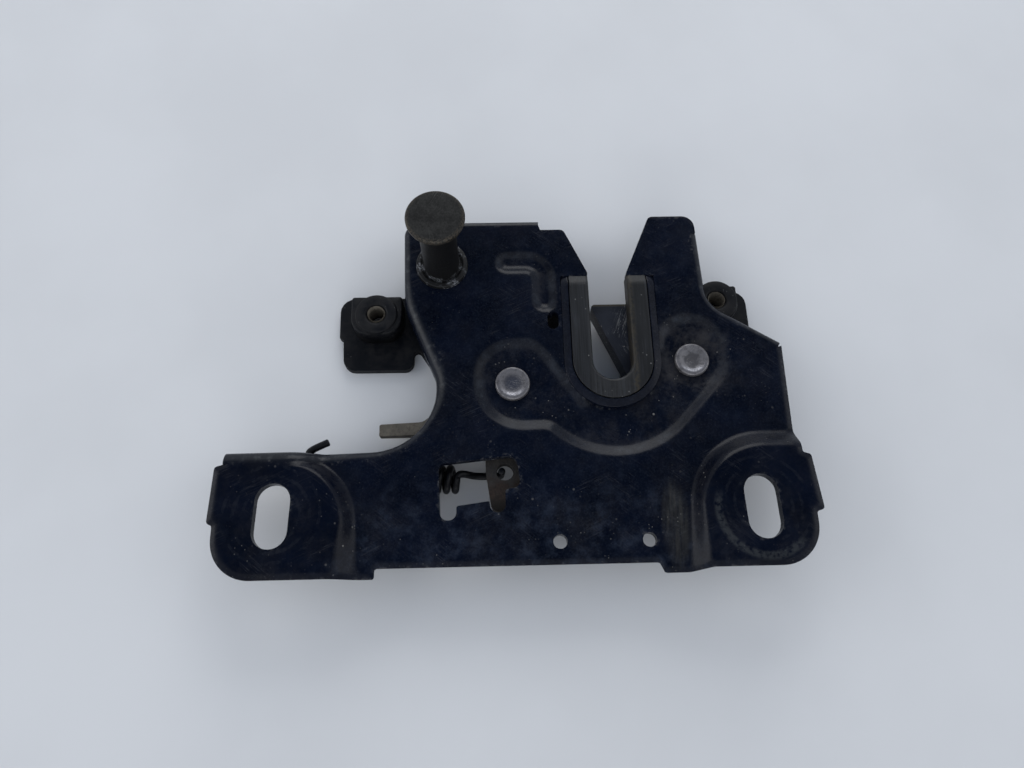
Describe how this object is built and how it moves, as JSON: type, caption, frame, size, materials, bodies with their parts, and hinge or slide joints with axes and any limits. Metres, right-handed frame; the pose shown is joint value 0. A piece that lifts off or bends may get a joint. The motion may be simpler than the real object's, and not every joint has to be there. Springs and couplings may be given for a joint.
{
  "type": "bonnet latch",
  "caption": "Bonnet latch with a pressed wide plate, lined striker slot, rotary catch, spring loaded pawl with a cable release lever, threaded rear ears and a headed safety stud.",
  "frame": {"origin": "midway between the centres of the two mounting slots, on the front face of the pads", "axes": "+X along the line of the mounting slots, +Y towards the mouth of the striker slot, +Z out of the front face"},
  "size_m": [0.1493, 0.0984, 0.0387],
  "materials": {
    "coated_plate": "gloss",
    "liner": "satin",
    "rear_black": "matte",
    "stud_steel": "satin",
    "rivet_steel": "satin",
    "bush_steel": "satin",
    "catch_coat": "satin",
    "rusty_steel": "matte",
    "zinc_lever": "satin",
    "spring_wire": "satin"
  },
  "bodies": {
    "frame": {"main_plate": "coated_plate", "slot_liner": "liner", "rear_plate": "rear_black", "left_ear_nut": "rear_black", "right_ear_nut": "rear_black", "safety_stud": "stud_steel", "catch_rivet": "rivet_steel", "catch_bush": "bush_steel", "pawl_rivet": "rivet_steel", "pawl_bush": "bush_steel", "catch_spring": "spring_wire", "pawl_spring": "spring_wire"},
    "catch": {"catch": "catch_coat"},
    "pawl": {"pawl": "rusty_steel", "release_lever": "zinc_lever", "lever_rivet": "zinc_lever"}
  },
  "joints": [
    {"name": "catch_pivot", "type": "hinge", "parent": "frame", "child": "catch", "pos_m": [0.0472, 0.0401, -0.0114], "axis": [0, 0, 1], "range_deg": [0, 66], "deforming": ["catch_spring"]},
    {"name": "pawl_pivot", "type": "hinge", "parent": "frame", "child": "pawl", "pos_m": [-0.0006, 0.0343, -0.0101], "axis": [0, 0, 1], "range_deg": [-14, 4], "deforming": ["pawl_spring"]}
  ]
}
